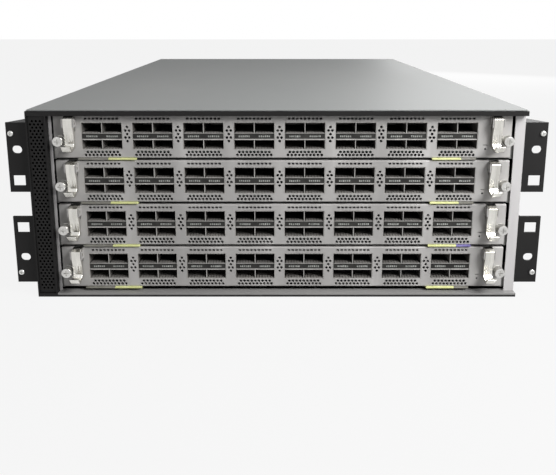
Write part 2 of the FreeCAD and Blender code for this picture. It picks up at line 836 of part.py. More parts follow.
def handle(x, z, wide, bar, reach):
    """Level pull handle that stands out from a rear face."""
    face = f"({REAR} + face_sheet)"
    grip = block(x, face, z, wide, reach, bar)
    gap = block(f"{x} + {bar}", face, f"{z} - spare", f"{wide} - 2*{bar}", f"{reach} - {bar}",
                f"{bar} + 2*spare")
    return cut(grip, gap)


def rotor(n):
    """Fan rotor: a hub with pitched blades, bored for its shaft."""
    x = size(f"{fan_left(n)} + fan_width/2")
    z = size(f"{FAN_BASE} + fan_height/2")
    length = size("rotor_length")
    back = size(f"{REAR} - motor_depth - rotor_gap")
    start = FreeCAD.Vector(x, back - length, z)
    hub_radius = size("rotor_hub")
    tip_radius = size("rotor_radius")
    hub = prism_y(start, hub_radius, length, int(size("fan_sides")))
    thick = size("blade_sheet")
    pitch = size("blade_pitch")
    blades = int(size("rotor_blades"))
    chord = (length - 2 * thick) / math.cos(math.radians(pitch))
    half_sweep = chord / 2 * math.sin(math.radians(pitch)) + thick
    tip_reach = math.sqrt(tip_radius ** 2 - half_sweep ** 2)
    pieces = []
    for blade in range(blades):
        root = hub_radius - size("blade_root")
        plate = Part.makeBox(tip_reach - root, chord, thick, FreeCAD.Vector(root, -chord / 2, -thick / 2))
        plate.rotate(FreeCAD.Vector(0, 0, 0), ALONG_X, pitch)
        plate.rotate(FreeCAD.Vector(0, 0, 0), ALONG_Y, 360.0 * blade / blades)
        plate.translate(FreeCAD.Vector(x, back - length / 2, z))
        pieces.append(plate)
    whole = hub.fuse(pieces)
    sides = int(size("bore_sides"))
    bore_radius = size("fan_shaft + shaft_play") / math.cos(math.pi / sides)
    spare = size("spare")
    bore = prism_y(start - ALONG_Y * spare, bore_radius, length + 2 * spare, sides)
    shape_node(f"fan_rotor_{n + 1}", whole.cut(bore))


def power_supply(n):
    """Slide-in power supply with an inlet, air slots and a pull handle."""
    left = supply_left(n)
    base = "(2*sheet + bay_play)"
    case = block(left, f"{REAR} - supply_depth", base, "supply_width", "supply_depth", "supply_height")
    plate = block(f"{left} - face_lap/2", REAR, base, "supply_width + face_lap", "face_sheet",
                  "supply_height")
    face = f"({REAR} + face_sheet)"
    inlet = block(f"{left} + supply_margin", f"{face} - inlet_depth",
                  f"{base} + (supply_height - inlet_height)/2", "inlet_width", "inlet_depth + spare",
                  "inlet_height")
    slots = []
    for row in range(int(size("supply_slots"))):
        slots.append(block(f"{left} + supply_width - supply_margin - supply_slot_width",
                           f"{face} - supply_slot_depth",
                           f"{base} + supply_margin + {row}*supply_slot_pitch", "supply_slot_width",
                           "supply_slot_depth + spare", "supply_slot_pitch - guard_bar"))
    grip = handle(f"{left} + supply_margin + inlet_width + supply_handle_gap",
                  f"{base} + supply_height - handle_drop", "supply_handle", "handle_bar", "handle_reach")
    keep(fused(cut(fused(case, plate), inlet, group(*slots)), grip), f"power_supply_{n + 1}")


def socket_x(n):
    return f"(service_left + service_width/2 + ({n} - (socket_count - 1)/2)*socket_pitch - socket_width/2)"


SOCKET_BASE = "(2*sheet + (supply_height - socket_height)/2)"


def service_panel():
    """Rear plate with three service sockets behind it."""
    body = solid_body("service_panel")
    loops = [ring("service_left", "2*sheet", "service_width", "supply_height")]
    for n in range(int(size("socket_count"))):
        loops.append(ring(socket_x(n), SOCKET_BASE, "socket_width", "socket_height"))
    pad(body, flat(body, "XZ_Plane", loops, offset=f"-{REAR}"), "sheet", turned=True)
    shells = []
    for n in range(int(size("socket_count"))):
        outer = block(f"{socket_x(n)} - socket_wall", f"{REAR} - socket_depth",
                      f"{SOCKET_BASE} - socket_wall",
                      "socket_width + 2*socket_wall", "socket_depth", "socket_height + 2*socket_wall")
        room = block(socket_x(n), f"{REAR} - socket_depth + socket_wall", SOCKET_BASE, "socket_width",
                     "socket_depth", "socket_height")
        shells.append(cut(outer, room))
    keep(group(*shells), "service_sockets")


guide_wall("left", WALL_LEFT, WALL_LEFT, "1", "flange_left", "-thumb_left")
guide_wall("right", WALL_RIGHT, RIGHT, "-1", "flange_right", "thumb_right")
base_pan()
top_cover()
front_frame()
intake_grille()
card_shelves()
midplane()
for level in CARDS:
    panel(level)
    cages(level)
    board(level)
    heat_sink(level)
    lever(level, "left", "-lever_left")
    lever(level, "right", "lever_right")
    thumbscrew(level, "left", "-thumb_left")
    thumbscrew(level, "right", "thumb_right")
LOW_HOLES = ("rack_hole_low", "square_hole_low", "ear_screw_low")
HIGH_HOLES = tuple(f"(body_height - {height})" for height in LOW_HOLES)
UPPER_EAR = "(body_height - ear_lowest - ear_height)"
for side, turn in (("left", -1), ("right", 1)):
    ear(f"ear_lower_{side}", turn, "ear_lowest", LOW_HOLES, "ear_lowest")
    ear(f"ear_upper_{side}", turn, UPPER_EAR, HIGH_HOLES, f"{UPPER_EAR} + ear_height - ear_sheet")
screws()
bay_shelf()
rear_frame()
for n in range(int(size("fan_count"))):
    fan_tray(n)
    rotor(n)
for n in range(int(size("supply_count"))):
    power_supply(n)
service_panel()

document.recompute()
for thing in document.Objects:
    if "Invalid" in thing.State or "Error" in thing.State:
        raise RuntimeError(f"{thing.Label} could not be built: {thing.State}")
os.makedirs("parts", exist_ok=True)
for node in nodes:
    shape = node.Shape
    if shape.isNull() or not shape.isValid() or not shape.Solids:
        raise RuntimeError(f"{node.Label} has no valid solid")
    shape.exportStep(f"parts/{node.Label}.step")
print(len(nodes), "pieces written")
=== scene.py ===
import bpy
import bmesh
import math
from mathutils import Matrix, Vector


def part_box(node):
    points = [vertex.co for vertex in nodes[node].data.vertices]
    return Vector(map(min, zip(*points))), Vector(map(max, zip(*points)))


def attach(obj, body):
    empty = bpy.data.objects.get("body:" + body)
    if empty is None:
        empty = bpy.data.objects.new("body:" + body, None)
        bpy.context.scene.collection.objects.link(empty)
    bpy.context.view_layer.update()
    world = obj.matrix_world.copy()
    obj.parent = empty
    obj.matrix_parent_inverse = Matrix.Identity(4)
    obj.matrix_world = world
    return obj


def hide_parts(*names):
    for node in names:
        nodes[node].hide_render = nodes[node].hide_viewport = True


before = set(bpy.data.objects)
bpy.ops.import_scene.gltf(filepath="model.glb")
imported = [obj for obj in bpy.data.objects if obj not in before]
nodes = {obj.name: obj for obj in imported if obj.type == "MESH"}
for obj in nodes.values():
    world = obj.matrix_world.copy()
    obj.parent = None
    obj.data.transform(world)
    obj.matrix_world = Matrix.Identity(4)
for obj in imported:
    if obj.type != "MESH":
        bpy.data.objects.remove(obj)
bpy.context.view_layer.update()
scene = bpy.context.scene

# Camera.
# It stands a little above the top cover and looks at the port side from half a metre away.
# The picture's horizon lies near its upper edge, so the lens is shifted down a little.
photo_width = 556
sensor_width = 36
focal_pixels = 622.6
lens = bpy.data.cameras.new("camera")
lens.sensor_width = sensor_width
lens.lens = focal_pixels * sensor_width / photo_width
lens.shift_x = 0.002
lens.shift_y = -0.18
lens.clip_start = 0.01
camera = bpy.data.objects.new("camera", lens)
scene.collection.objects.link(camera)
camera.location = (0, -0.8634, 0.2561)
camera.rotation_euler = (math.radians(90 - 11.09), 0, 0)
scene.camera = camera


# Studio.
# A pale room with one lamp above the front on the right, a weak one on the left and a low one behind.
# The camera and bright metal see a plain white backdrop, and the floor keeps the soft shadow.
def tone(red, green, blue):
    """A colour as it looks on a screen, 0 to 255, turned into the linear values that nodes take."""
    steps = []
    for value in (red, green, blue):
        share = value / 255
        steps.append(share / 12.92 if share <= 0.04045 else ((share + 0.055) / 1.055) ** 2.4)
    return (*steps, 1)


scene.view_settings.view_transform = "Standard"
world = bpy.data.worlds.new("studio_room")
scene.world = world
world.use_nodes = True
room = world.node_tree
room.nodes.clear()
room_out = room.nodes.new("ShaderNodeOutputWorld")
room_place = room.nodes.new("ShaderNodeTexCoord")
room_split = room.nodes.new("ShaderNodeSeparateXYZ")
room_ramp = room.nodes.new("ShaderNodeValToRGB")
room_ramp.color_ramp.elements[0].position = 0.35
room_ramp.color_ramp.elements[0].color = (0.03, 0.03, 0.03, 1)
room_ramp.color_ramp.elements[1].position = 0.85
room_ramp.color_ramp.elements[1].color = (0.13, 0.13, 0.134, 1)
room_shift = room.nodes.new("ShaderNodeMapRange")
room_shift.inputs["From Min"].default_value = -1
room_light = room.nodes.new("ShaderNodeBackground")
room_white = room.nodes.new("ShaderNodeBackground")
room_white.inputs["Color"].default_value = (1, 1, 1, 1)
room_mix = room.nodes.new("ShaderNodeMixShader")
room.links.new(room_place.outputs["Generated"], room_split.inputs[0])
room.links.new(room_split.outputs["Z"], room_shift.inputs["Value"])
room.links.new(room_shift.outputs["Result"], room_ramp.inputs["Fac"])
room.links.new(room_ramp.outputs["Color"], room_light.inputs["Color"])
room.links.new(room_light.outputs[0], room_mix.inputs[1])
room.links.new(room_white.outputs[0], room_mix.inputs[2])
room.links.new(room_mix.outputs[0], room_out.inputs["Surface"])


def seen_rays(tree, share):
    """Where a ray comes from the camera, or from gloss or glass, this gives share, and else 0."""
    rays = tree.nodes.new("ShaderNodeLightPath")
    seen = rays.outputs["Is Camera Ray"]
    for kind in ("Is Glossy Ray", "Is Transmission Ray"):
        either = tree.nodes.new("ShaderNodeMath")
        either.operation = "MAXIMUM"
        tree.links.new(seen, either.inputs[0])
        tree.links.new(rays.outputs[kind], either.inputs[1])
        seen = either.outputs[0]
    part = tree.nodes.new("ShaderNodeMath")
    part.operation = "MULTIPLY"
    part.inputs[1].default_value = share
    tree.links.new(seen, part.inputs[0])
    return part.outputs[0]


room.links.new(seen_rays(room, 1), room_mix.inputs["Fac"])


def lamp(name, place, target, wide, high, watts):
    data = bpy.data.lights.new(name, "AREA")
    data.shape = "RECTANGLE"
    data.size = wide
    data.size_y = high
    data.energy = watts
    thing = bpy.data.objects.new(name, data)
    scene.collection.objects.link(thing)
    thing.location = place
    thing.rotation_euler = (Vector(target) - Vector(place)).to_track_quat("-Z", "Y").to_euler()
    thing.visible_camera = False
    return thing


lamp("key_lamp", (0.64, -0.76, 0.68), (0.1, -0.2, 0.1), 0.5, 0.5, 15)
lamp("fill_lamp", (-1.9, -1.0, 0.6), (0, 0, 0.1), 1.4, 1.0, 1)
lamp("back_lamp", (0.9, 1.9, 0.45), (0, 0.35, 0.1), 0.9, 0.6, 16)

floor_mesh = bpy.data.meshes.new("floor")
floor_bm = bmesh.new()
bmesh.ops.create_grid(floor_bm, x_segments=1, y_segments=1, size=6)
floor_bm.to_mesh(floor_mesh)
floor_bm.free()
floor = bpy.data.objects.new("floor", floor_mesh)
scene.collection.objects.link(floor)
floor_look = bpy.data.materials.new("pale_floor")
floor_look.use_nodes = True
tree = floor_look.node_tree
tree.nodes.clear()
floor_out = tree.nodes.new("ShaderNodeOutputMaterial")
floor_matt = tree.nodes.new("ShaderNodeBsdfDiffuse")
floor_matt.inputs["Color"].default_value = (0.3, 0.3, 0.3, 1)
floor_glow = tree.nodes.new("ShaderNodeEmission")
floor_glow.inputs["Color"].default_value = (1, 1, 1, 1)
floor_mix = tree.nodes.new("ShaderNodeMixShader")
tree.links.new(seen_rays(tree, 0.89), floor_mix.inputs["Fac"])
tree.links.new(floor_matt.outputs[0], floor_mix.inputs[1])
tree.links.new(floor_glow.outputs[0], floor_mix.inputs[2])
tree.links.new(floor_mix.outputs[0], floor_out.inputs["Surface"])
floor_mesh.materials.append(floor_look)


# Base pan.
# The bottom and sides are one folded steel sheet with a black powder coat of fine orange peel.
# Small countersunk screws hold the cage and the shelves to its sides.
def shader_group(name, inputs, outputs):
    group = bpy.data.node_groups.new(name, "ShaderNodeTree")
    for label, kind, value in inputs:
        socket = group.interface.new_socket(label, in_out="INPUT", socket_type=kind)
        if value is not None:
            socket.default_value = value
    for label, kind in outputs:
        group.interface.new_socket(label, in_out="OUTPUT", socket_type=kind)
    return group, group.nodes.new("NodeGroupInput"), group.nodes.new("NodeGroupOutput")


def wire(group, source, target):
    group.links.new(source, target)


# Worn finish: broad clouds of tone, fine grain and a few thin rubbed streaks.
worn, worn_in, worn_out = shader_group(
    "worn_finish",
    [
        ("Vector", "NodeSocketVector", None),
        ("Colour", "NodeSocketColor", (0.5, 0.5, 0.5, 1)),
        ("Rubbed", "NodeSocketColor", (0.6, 0.6, 0.6, 1)),
        ("Cloud", "NodeSocketFloat", 14.0),
        ("Grain", "NodeSocketFloat", 900.0),
        ("Base", "NodeSocketFloat", 0.4),
        ("Spread", "NodeSocketFloat", 0.12),
        ("Marks", "NodeSocketFloat", 0.3),
    ],
    [("Color", "NodeSocketColor"), ("Roughness", "NodeSocketFloat"), ("Height", "NodeSocketFloat")],
)
cloud = worn.nodes.new("ShaderNodeTexNoise")
cloud.inputs["Detail"].default_value = 4
grain = worn.nodes.new("ShaderNodeTexNoise")
grain.inputs["Detail"].default_value = 2
streak = worn.nodes.new("ShaderNodeTexNoise")
streak.inputs["Detail"].default_value = 3
streak.inputs["Roughness"].default_value = 0.7
streak_cut = worn.nodes.new("ShaderNodeMapRange")
streak_cut.inputs["From Min"].default_value = 0.60
streak_cut.inputs["From Max"].default_value = 0.72
cloud_cut = worn.nodes.new("ShaderNodeMapRange")
cloud_cut.inputs["From Min"].default_value = 0.34
cloud_cut.inputs["From Max"].default_value = 0.68
streak_share = worn.nodes.new("ShaderNodeMath")
streak_share.operation = "MULTIPLY"
mixed = worn.nodes.new("ShaderNodeMath")
mixed.operation = "MULTIPLY_ADD"
mixed.inputs[1].default_value = 0.75
mixed.use_clamp = True
paint = worn.nodes.new("ShaderNodeMix")
paint.data_type = "RGBA"
centred = worn.nodes.new("ShaderNodeMath")
centred.operation = "SUBTRACT"
centred.inputs[1].default_value = 0.5
rough = worn.nodes.new("ShaderNodeMath")
rough.operation = "MULTIPLY_ADD"
both = worn.nodes.new("ShaderNodeMath")
both.operation = "MULTIPLY_ADD"
both.inputs[1].default_value = 0.6
wire(worn, worn_in.outputs["Vector"], cloud.inputs["Vector"])
wire(worn, worn_in.outputs["Vector"], grain.inputs["Vector"])
wire(worn, worn_in.outputs["Vector"], streak.inputs["Vector"])
wire(worn, worn_in.outputs["Cloud"], cloud.inputs["Scale"])
wire(worn, worn_in.outputs["Grain"], grain.inputs["Scale"])
wire(worn, worn_in.outputs["Cloud"], streak.inputs["Scale"])
wire(worn, cloud.outputs["Fac"], cloud_cut.inputs["Value"])
wire(worn, streak.outputs["Fac"], streak_cut.inputs["Value"])
wire(worn, streak_cut.outputs["Result"], streak_share.inputs[0])
wire(worn, worn_in.outputs["Marks"], streak_share.inputs[1])
wire(worn, cloud_cut.outputs["Result"], mixed.inputs[0])
wire(worn, streak_share.outputs[0], mixed.inputs[2])
wire(worn, mixed.outputs[0], paint.inputs["Factor"])
wire(worn, worn_in.outputs["Colour"], paint.inputs["A"])
wire(worn, worn_in.outputs["Rubbed"], paint.inputs["B"])
wire(worn, paint.outputs["Result"], worn_out.inputs["Color"])
wire(worn, grain.outputs["Fac"], both.inputs[0])
wire(worn, cloud.outputs["Fac"], both.inputs[2])
wire(worn, both.outputs[0], centred.inputs[0])
wire(worn, centred.outputs[0], rough.inputs[0])
wire(worn, worn_in.outputs["Spread"], rough.inputs[1])
wire(worn, worn_in.outputs["Base"], rough.inputs[2])
wire(worn, rough.outputs[0], worn_out.inputs["Roughness"])
wire(worn, grain.outputs["Fac"], worn_out.inputs["Height"])


def worn_surface(name, colour, rubbed, metallic, base, spread=0.12, cloud_scale=14.0, grain_scale=900.0,
                 marks=0.3, stretch=(1, 1, 1), depth=0.00002, specular=0.5, coat=0.0):
    """A material with the worn finish; base is its roughness, and stretch draws the pattern out."""
    look = bpy.data.materials.new(name)
    look.use_nodes = True
    tree = look.node_tree
    shader = tree.nodes["Principled BSDF"]
    shader.inputs["Metallic"].default_value = metallic
    shader.inputs["Specular IOR Level"].default_value = specular
    shader.inputs["Coat Weight"].default_value = coat
    place = tree.nodes.new("ShaderNodeTexCoord")
    mapping = tree.nodes.new("ShaderNodeMapping")
    mapping.inputs["Scale"].default_value = stretch
    finish = tree.nodes.new("ShaderNodeGroup")
    finish.node_tree = worn
    finish.inputs["Colour"].default_value = colour
    finish.inputs["Rubbed"].default_value = rubbed
    finish.inputs["Cloud"].default_value = cloud_scale
    finish.inputs["Grain"].default_value = grain_scale
    finish.inputs["Base"].default_value = base
    finish.inputs["Spread"].default_value = spread
    finish.inputs["Marks"].default_value = marks
    relief = tree.nodes.new("ShaderNodeBump")
    relief.inputs["Distance"].default_value = depth
    tree.links.new(place.outputs["Object"], mapping.inputs["Vector"])
    tree.links.new(mapping.outputs["Vector"], finish.inputs["Vector"])
    tree.links.new(finish.outputs["Color"], shader.inputs["Base Color"])
    tree.links.new(finish.outputs["Roughness"], shader.inputs["Roughness"])
    tree.links.new(finish.outputs["Height"], relief.inputs["Height"])
    tree.links.new(relief.outputs["Normal"], shader.inputs["Normal"])
    return look


powder = worn_surface("black_powder_coat", tone(15, 14, 14), tone(24, 23, 23), 0.0, 0.5,
                      cloud_scale=22.0, grain_scale=1500.0, spread=0.2, marks=0.25, depth=0.00006,
                      specular=0.25)


def dress(node, look):
    """Gives a CAD node that stays as it is its finished material."""
    slots = nodes[node].material_slots
    for slot in slots:
        slot.material = look
    if not slots:
        nodes[node].data.materials.append(look)


def piece(name, shape, body, looks, replaces=(), smooth_below=35):
    """Turns a bmesh in millimetres into a finished piece that rides on a body.

    Its normals are weighted by face area, so flat sheets stay flat beside their rounded edges.
    """
    mesh = bpy.data.meshes.new(name)
    shape.to_mesh(mesh)
    shape.free()
    mesh.transform(Matrix.Scale(0.001, 4))
    for look in looks:
        mesh.materials.append(look)
    mesh.polygons.foreach_set("use_smooth", [True] * len(mesh.polygons))
    mesh.set_sharp_from_angle(angle=math.radians(smooth_below))
    thing = bpy.data.objects.new(name, mesh)
    scene.collection.objects.link(thing)
    even = thing.modifiers.new("even_shading", "WEIGHTED_NORMAL")
    even.keep_sharp = True
    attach(thing, body)
    if replaces:
        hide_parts(*replaces)
    return thing


def softened(node, width):
    """A copy of a CAD node in millimetres, with its sharp edges slightly rounded."""
    shape = bmesh.new()
    shape.from_mesh(nodes[node].data)
    bmesh.ops.scale(shape, vec=(1000, 1000, 1000), verts=shape.verts)
    bmesh.ops.remove_doubles(shape, verts=shape.verts, dist=0.002)
    bmesh.ops.dissolve_limit(shape, angle_limit=math.radians(1), verts=shape.verts, edges=shape.edges)
    sharp = [edge for edge in shape.edges
             if edge.is_manifold and edge.calc_face_angle(0) > math.radians(28)]
    bmesh.ops.bevel(shape, geom=sharp, offset=width, offset_type="OFFSET", segments=2, profile=0.5,
                    affect="EDGES", material=-1, clamp_overlap=True)
    for face in shape.faces:
        face.material_index = 0
    return shape


def slab(shape, low, high):
    """A box from its lowest to its highest corner, added to a bmesh."""
    made = bmesh.ops.create_cube(shape, size=1)["verts"]
    span = Vector(high) - Vector(low)
    bmesh.ops.scale(shape, vec=span, verts=made)
    bmesh.ops.translate(shape, vec=(Vector(high) + Vector(low)) / 2, verts=made)
    return made


def drum(shape, centre, radius, length, sides, axis="Y"):
    """A prism or cylinder round centre, along an axis, added to a bmesh."""
    made = bmesh.ops.create_cone(shape, cap_ends=True, cap_tris=False, segments=sides, radius1=radius,
                                 radius2=radius, depth=length)["verts"]
    if axis == "Y":
        bmesh.ops.rotate(shape, cent=(0, 0, 0), matrix=Matrix.Rotation(math.pi / 2, 3, "X"), verts=made)
    if axis == "X":
        bmesh.ops.rotate(shape, cent=(0, 0, 0), matrix=Matrix.Rotation(math.pi / 2, 3, "Y"), verts=made)
    bmesh.ops.translate(shape, vec=centre, verts=made)
    return made


def carved(base, tools, crossing=False):
    """Cuts the tools out of the base and uses both up; crossing is for tools that meet each other."""
    things = []
    for shape in (base, tools):
        mesh = bpy.data.meshes.new("carving")
        shape.to_mesh(mesh)
        shape.free()
        thing = bpy.data.objects.new("carving", mesh)
        scene.collection.objects.link(thing)
        things.append(thing)
    cutter = things[0].modifiers.new("punch", "BOOLEAN")
    cutter.operation = "DIFFERENCE"
    cutter.solver = "EXACT"
    cutter.use_self = crossing
    cutter.object = things[1]
    graph = bpy.context.evaluated_depsgraph_get()
    done = bpy.data.meshes.new_from_object(things[0].evaluated_get(graph))
    result = bmesh.new()
    result.from_mesh(done)
    for thing in things:
        mesh = thing.data
        bpy.data.objects.remove(thing)
        bpy.data.meshes.remove(mesh)
    bpy.data.meshes.remove(done)
    return result


def span(node):
    """The lowest and highest corner of a CAD node, in millimetres."""
    low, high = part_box(node)
    return low * 1000, high * 1000


def cross_recess(shape, centre, reach, width, depth):
    """Two crossed slots, as a cutter for a screw head that faces the front."""
    x, y, z = centre
    slab(shape, (x - reach, y - 1, z - width / 2), (x + reach, y + depth, z + width / 2))
    slab(shape, (x - width / 2, y - 1.2, z - reach), (x + width / 2, y + depth - 0.1, z + reach))


def screw_head(shape, crosses, centre, radius, turn):
    """A flat screw head on a side face that looks along X, and the cutter of its recess."""
    x, y, z = centre
    drum(shape, (x - turn * 0.45, y, z), radius, 0.9, 20, axis="X")
    for wide, high in ((0.5, 1.5), (1.5, 0.5)):
        slab(crosses, (x - 0.6, y - wide, z - high), (x + 0.6, y + wide, z + high))


screw_steel = worn_surface("screw_steel", tone(205, 205, 203), tone(225, 225, 222), 0.9, 0.3,
                           cloud_scale=180.0, grain_scale=2500.0, depth=0.00001)
pan_side = span("base_pan")[1].x
pan_screw_places = (-262, -150, -38, 63.5, 165, 300)
pan_screw_heights = (24, 88, 152)
sinkings = bmesh.new()
side_heads = bmesh.new()
side_crosses = bmesh.new()
for turn in (-1, 1):
    for y in pan_screw_places:
        for z in pan_screw_heights:
            drum(sinkings, (turn * pan_side, y, z), 3.0, 2.0, 20, axis="X")
            screw_head(side_heads, side_crosses, (turn * (pan_side - 0.1), y, z), 2.8, turn)
piece("base_tray", carved(softened("base_pan", 0.25), sinkings), "chassis", [powder],
      ["base_pan"])
piece("pan_screw_set", carved(side_heads, side_crosses, crossing=True), "chassis",
      [screw_steel])

# Top cover.
# A flat painted sheet that starts behind the front frame and lies on the rims of the base pan.
# Its paint has a faint rolled grain along its length.
cover_paint = worn_surface("cover_paint", tone(139, 141, 140), tone(149, 150, 149), 0.04, 0.55,
                           cloud_scale=7.0, grain_scale=1600.0, marks=0.2, stretch=(1, 0.25, 1), specular=0.1)
piece("cover_sheet", softened("top_cover", 0.3), "chassis", [cover_paint], ["top_cover"])

# Front frame.
# Black steel above, below and beside the cards, with a window for the air intake on the left.
# A bright folded sill covers the upper half of its base lip, under the lowest card.
def rounded(shape, edges, width, steps=2):
    """Rounds edges of a bmesh off by a width, in steps."""
    bmesh.ops.bevel(shape, geom=edges, offset=width, offset_type="OFFSET", segments=steps, profile=0.5,
                    affect="EDGES", material=-1)


strip_metal = worn_surface("satin_strip", tone(190, 188, 188), tone(208, 206, 206), 0.15, 0.36,
                           cloud_scale=30.0, grain_scale=1800.0, stretch=(1, 1, 0.12))
piece("black_frame", softened("front_frame", 0.5), "chassis", [powder],
      ["front_frame"], smooth_below=20)
sill_metal = worn_surface("satin_sill", tone(134, 133, 132), tone(156, 155, 153), 0.1, 0.38,
                          cloud_scale=30.0, grain_scale=1800.0, stretch=(0.12, 1, 1))
frame_low, frame_high = span("front_frame")
sill_left = -202.9
sill_base = 1.7
sill_top = 3.6
sill = bmesh.new()
slab(sill, (sill_left, frame_low.y - 0.1, sill_base), (frame_high.x - 0.3, frame_high.y - 0.3, sill_top))
rounded(sill, list(sill.edges), 0.35)
piece("bright_sill", sill, "chassis", [sill_metal])


# Intake grille.
# A thin black sheet behind the window, with small staggered round holes over its whole height.
# The holes are punched, so each one is cut right through the sheet.
grille_low, grille_high = span("intake_grille")
grille_middle = (grille_low + grille_high) / 2
grille_row = 2.9
grille_step = 3.55
grille_hole = 1.15
grille_sheet = bmesh.new()
slab(grille_sheet, grille_low, grille_high)
punches = bmesh.new()
row_count = int((grille_high.z - grille_low.z - 4) / grille_row)
for row in range(row_count):
    height = grille_middle.z + (row - (row_count - 1) / 2) * grille_row
    for place in ((-1.5, -0.5, 0.5, 1.5) if row % 2 else (-1, 0, 1)):
        drum(punches, (grille_middle.x + place * grille_step, grille_middle.y, height), grille_hole, 4, 6)
piece("perforated_intake", carved(grille_sheet, punches), "chassis", [powder],
      ["intake_grille"])

# Rack ears.
# Four folded black steel brackets, each with a plate in front, a side flange and a web between them.
# Their plates have an oblong rack hole and a square hole.
for name in ("ear_lower_left", "ear_upper_left", "ear_lower_right", "ear_upper_right"):
    piece(name.replace("ear", "bracket"), softened(name, 0.35), "chassis", [powder],
          [name])


# Ear screws.
# Bright pan-head screws with a cross recess, one near the outer corner of each ear.
# The heads are stamped, and the rim is round.
plate_front = span("ear_lower_left")[0].y
ear_screw_radius = 2.6
screw_heads = bmesh.new()
recesses = bmesh.new()
for x in (-237, 237):
    for z in (22, 153):
        head = drum(screw_heads, (x, plate_front - 0.9, z), ear_screw_radius, 1.8, 28)
        rim = [edge for edge in screw_heads.edges
               if all(v in head and v.co.y < plate_front - 1 for v in edge.verts)]
        rounded(screw_heads, rim, 1.1, 4)
        cross_recess(recesses, (x, plate_front - 1.8, z), 1.5, 0.55, 1.2)
        drum(screw_heads, (x, plate_front + 2.5, z), 1.45, 5, 16)
piece("ear_screw_set", carved(screw_heads, recesses, crossing=True), "chassis", [screw_steel],
      ["ear_screws"])

# Guide walls.
# Sheets at both sides of the card cage: their front flanges are bright, and the rest is black powder coat,
# painted shade that keeps the gaps beside the cards dark.
# Each has a folded tab behind every thumbscrew and a grey filler plate below it, beside the card; the plate's
# grey is the strip metal darkened as painted shade.
# The filler grey is the satin strip metal made darker: painted shade on the plates below the thumbscrews.
filler_painted_shade = worn_surface("filler_painted_shade", tone(126, 126, 124), tone(142, 142, 140), 0.3, 0.42,
                           cloud_scale=40.0, grain_scale=1500.0, stretch=(1, 1, 0.3))
card_front = -319
card_pitch = 41
card_base = 7.6
fillers = {"left": (-201.8, -198.7), "right": (209.2, 218.5)}
filler_top = 12.2
for side in ("left", "right"):
    wall_shape = softened(f"guide_wall_{side}", 0.25)
    for card in (1, 2, 3, 4):
        floor_height = card_base + card_pitch * (card - 1)
        start, end = fillers[side]
        plate = slab(wall_shape, (start, card_front + 2.5, floor_height - 1.4),
                     (end, card_front + 3.5, floor_height + filler_top))
        for face in {f for v in plate for f in v.link_faces}:
            face.material_index = 2
    # Faces behind the front flange take the black coat: painted shade for the gaps beside the cards.
    for face in wall_shape.faces:
        if face.material_index == 0 and face.calc_center_median().y > card_front + 0.9:
            face.material_index = 1
    piece(f"side_wall_{side}", wall_shape, "chassis",
          [strip_metal, powder, filler_painted_shade], [f"guide_wall_{side}"])

# Card shelves, midplane and the parts behind it.
# Black shelves carry the cards, and a green board with black connectors stands behind them.
# The zinc-plated bay shelf parts the fan bays from the power bays; all are screwed to the pan.
zinc = worn_surface("zinc_sheet", tone(150, 151, 152), tone(185, 186, 188), 0.85, 0.38,
                    cloud_scale=110.0, grain_scale=700.0, marks=0.6, depth=0.00001)
dress("bay_shelf", zinc)
dress("card_shelves", powder)
board_green = worn_surface("board_green", tone(18, 62, 40), tone(30, 84, 54), 0.0, 0.4,
                           cloud_scale=160.0, grain_scale=900.0, marks=0.9, coat=0.3)
dress("midplane", board_green)
connector_black = worn_surface("connector_black", tone(24, 24, 25), tone(34, 34, 35), 0.0, 0.5,
                               cloud_scale=60.0, grain_scale=1200.0)
dress("midplane_connectors", connector_black)

# Card panels.
# Each card has a front panel and tray folded from one satin sheet, with eight port windows.
# Rows of small air holes lie above and below each window and in the posts between the windows.
panel_metal = worn_surface("satin_panel", tone(158, 156, 154), tone(188, 186, 184), 0.06, 0.38,
                           cloud_scale=34.0, grain_scale=1800.0, marks=0.35, stretch=(1, 1, 0.2))
card_left = -198.5
card_right = 209
card_height = 38.6
sheet = 1.2
tray_depth = 368.6
group_centres = [45.25 * n - 155.95 for n in range(8)]
lever_centres = {"left": -183.8, "right": 194.8}
thumb_centres = {"left": -193, "right": 204.4}
thumb_height = 16.5


def profile(shape, corners, start, length, axis="X"):
    """A closed outline of (y, z) corners, or (x, y) for axis Z, drawn out along an axis."""
    if axis == "X":
        points = [shape.verts.new((start, a, b)) for a, b in corners]
        way = Vector((length, 0, 0))
    else:
        points = [shape.verts.new((a, b, start)) for a, b in corners]
        way = Vector((0, 0, length))
    face = shape.faces.new(points)
    grown = bmesh.ops.extrude_face_region(shape, geom=[face])["geom"]
    moved = [item for item in grown if isinstance(item, bmesh.types.BMVert)]
    bmesh.ops.translate(shape, vec=way, verts=moved)
    shape.normal_update()
    bmesh.ops.recalc_face_normals(shape, faces=list({f for v in points + moved for f in v.link_faces}))
    return points + moved


def edges_between(verts, test):
    """Edges whose two ends are both in verts, kept where test(edge) is true."""
    chosen = set(verts)
    return [edge for edge in {e for v in verts for e in v.link_edges}
            if edge.verts[0] in chosen and edge.verts[1] in chosen and test(edge)]


